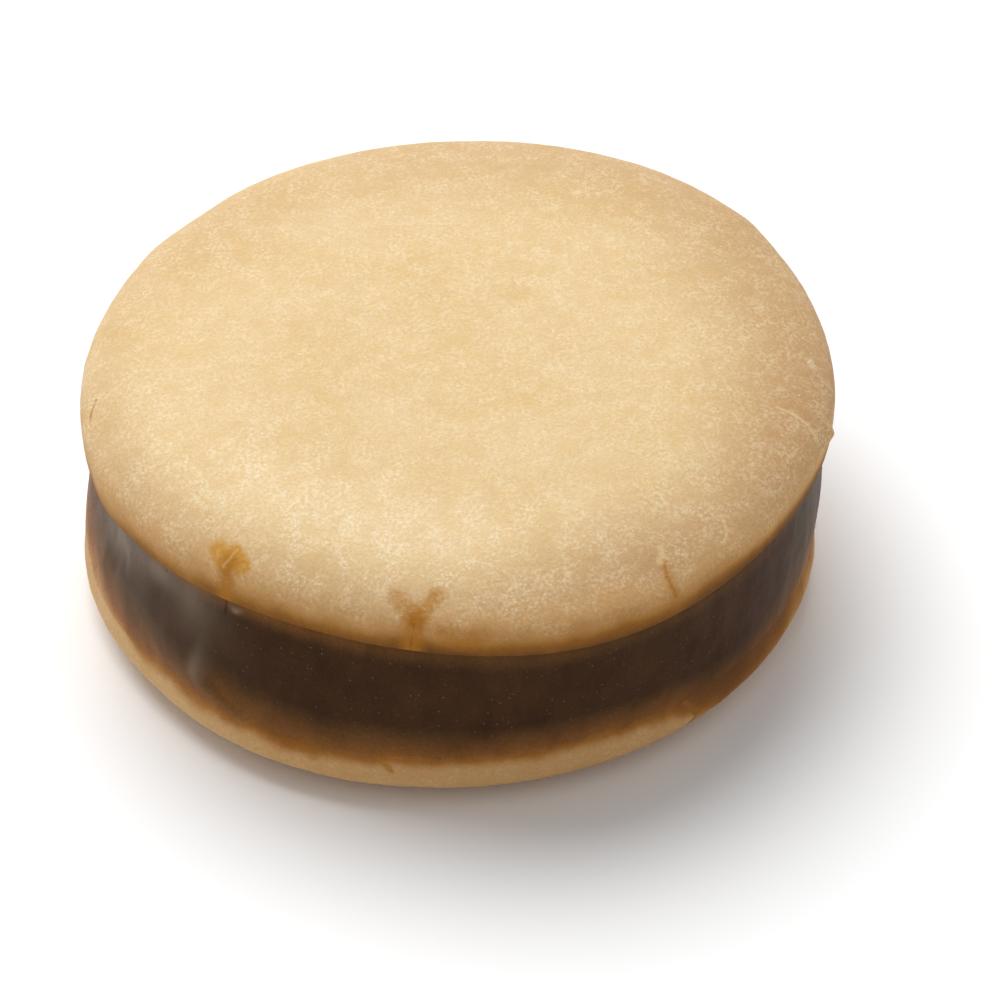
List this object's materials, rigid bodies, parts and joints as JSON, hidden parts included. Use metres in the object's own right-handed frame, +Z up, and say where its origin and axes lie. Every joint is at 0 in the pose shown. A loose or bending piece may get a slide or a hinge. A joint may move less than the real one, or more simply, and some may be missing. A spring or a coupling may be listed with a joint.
{
  "type": "dulce de leche alfajor",
  "caption": "Round sandwich biscuit: two soft glazed biscuits pressed onto a thick dulce de leche filling, ready to lie on a plate or in a display.",
  "frame": {"origin": "on the resting plane, below the middle of the whole alfajor's box", "axes": "+Z is up, through both biscuits; -Y is the front, the side that the picture shows; +X is to its right"},
  "size_m": [0.062, 0.0626, 0.0248],
  "materials": {
    "bottom_biscuit": "soft baked biscuit under a thin translucent sugar glaze, tan, browned where the filling has soaked in",
    "filling": "set dulce de leche, very dark brown, smooth and semi-matte under a thin glaze, with fine pale specks",
    "top_biscuit": "soft pale baked biscuit with a fine creamy sugar bloom, brown where the filling has soaked in at the rim"
  },
  "bodies": {
    "root": {"bottom_biscuit": "bottom_biscuit", "dulce_de_leche": "filling", "top_biscuit": "top_biscuit"}
  },
  "joints": []
}
